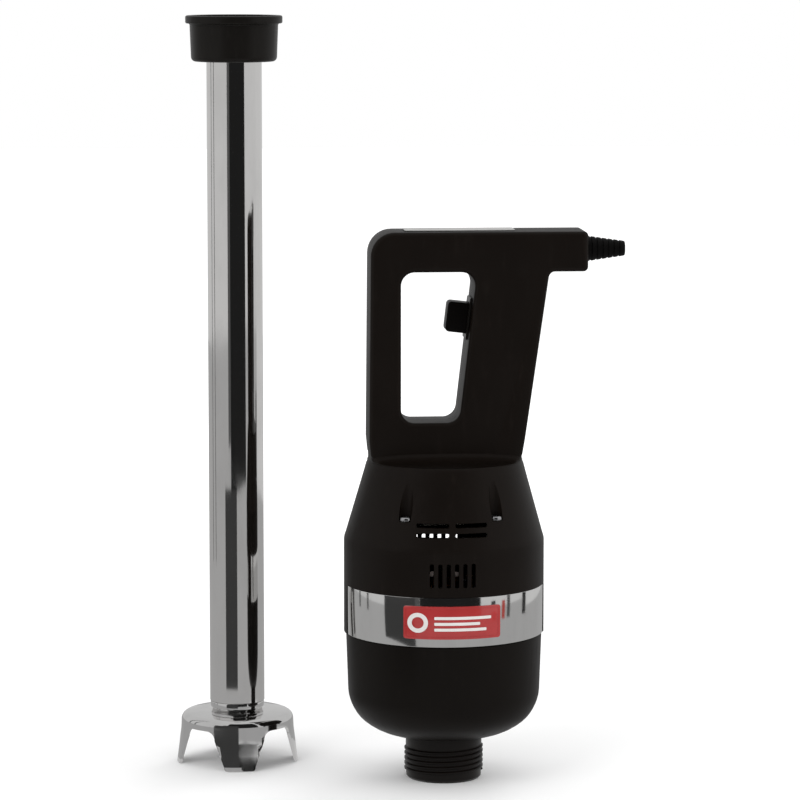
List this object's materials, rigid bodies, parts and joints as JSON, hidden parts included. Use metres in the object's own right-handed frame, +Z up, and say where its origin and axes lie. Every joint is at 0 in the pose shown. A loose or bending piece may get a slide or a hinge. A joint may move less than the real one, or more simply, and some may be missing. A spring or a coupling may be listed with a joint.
{
  "type": "immersion blender",
  "caption": "Hand-held commercial immersion blender in two detached assemblies: a D-handled motor unit standing on its threaded neck, and a steel mixing rod with collar nut and legged blade guard.",
  "frame": {"origin": "middle of the footprint's box, at the surface that both assemblies stand on", "axes": "+Z up along both assemblies, -Y towards the motor unit's front, +X towards the cable boot"},
  "size_m": [0.2808, 0.1608, 0.4793],
  "materials": {
    "casing": "satin near-black moulded casing",
    "black_plastic": "smooth black moulding",
    "boot_rubber": "black flexible sleeve",
    "gasket_rubber": "seal rubber",
    "polished_steel": "mirror-polished stainless steel",
    "steel": "plain steel",
    "red_label": "glossy red badge",
    "pale_label": "pale rating plate",
    "bronze": "sintered bronze",
    "copper": "varnished copper",
    "laminate": "stacked steel laminations",
    "carbon": "pressed carbon",
    "alloy": "cast alloy",
    "pale_moulding": "natural nylon"
  },
  "bodies": {
    "motor_unit": {"handle_front_shell": "casing", "handle_rear_shell": "casing", "lower_housing": "casing", "threaded_neck": "black_plastic", "switch_bezel": "black_plastic", "cable_clamp": "black_plastic", "cable_boot": "boot_rubber", "band_front": "polished_steel", "band_rear": "polished_steel", "housing_screw_1": "steel", "housing_screw_2": "steel", "housing_screw_3": "steel", "housing_screw_4": "steel", "shell_screw_1": "steel", "shell_screw_2": "steel", "shell_screw_3": "steel", "shell_screw_4": "steel", "neck_screw_1": "steel", "neck_screw_2": "steel", "neck_screw_3": "steel", "trigger_spring": "steel", "bearing_lower": "steel", "bearing_upper": "steel", "brush_spring_right": "steel", "brush_spring_left": "steel", "label_plate": "red_label", "rating_plate": "pale_label", "brush_holder_right": "bronze", "brush_holder_left": "bronze", "field_coil_right": "copper", "field_coil_left": "copper", "stator_core": "laminate", "brush_right": "carbon", "brush_left": "carbon", "bearing_bracket": "alloy", "switch_module": "pale_moulding", "suppressor": "pale_moulding"},
    "trigger": {"trigger": "black_plastic"},
    "rotor": {"motor_shaft": "steel", "drive_dog": "steel", "armature_core": "laminate", "armature_winding": "copper", "commutator": "copper", "cooling_fan": "pale_moulding"},
    "mixing_rod": {"shaft_tube": "polished_steel", "bell_guard": "polished_steel", "snap_ring": "steel", "tube_flange": "steel", "flange_gasket": "gasket_rubber", "lower_bush": "bronze", "shaft_seal": "gasket_rubber", "middle_bush": "pale_moulding", "upper_bush": "bronze"},
    "slip_ring": {"slip_washer": "steel"},
    "collar": {"collar_nut": "black_plastic"},
    "blade_shaft": {"drive_shaft": "steel", "shaft_coupling": "pale_moulding", "blade": "polished_steel", "blade_nut": "steel"}
  },
  "joints": [
    {"name": "rod_lift", "type": "slide", "parent": "motor_unit", "child": "mixing_rod", "axis": [0, 0, 1], "range_m": [0, 0.12]},
    {"name": "collar_lift", "type": "slide", "parent": "mixing_rod", "child": "slip_ring", "axis": [0, 0, 1], "range_m": [0, 0.003]},
    {"name": "collar_turn", "type": "hinge", "parent": "slip_ring", "child": "collar", "pos_m": [-0.1014, 0.0414, 0.4], "axis": [0, 0, 1], "continuous": true},
    {"name": "blade_turn", "type": "hinge", "parent": "mixing_rod", "child": "blade_shaft", "pos_m": [-0.1014, 0.0414, 0.2], "axis": [0, 0, 1], "continuous": true},
    {"name": "rotor_turn", "type": "hinge", "parent": "motor_unit", "child": "rotor", "pos_m": [0.0271, -0.0166, 0.08], "axis": [0, 0, 1], "continuous": true},
    {"name": "trigger_press", "type": "slide", "parent": "motor_unit", "child": "trigger", "axis": [0.9943, 0, -0.1065], "range_m": [0, 0.006], "stiffness_N_per_m": 400, "springref_m": -0.003, "deforming": ["trigger_spring"]}
  ]
}
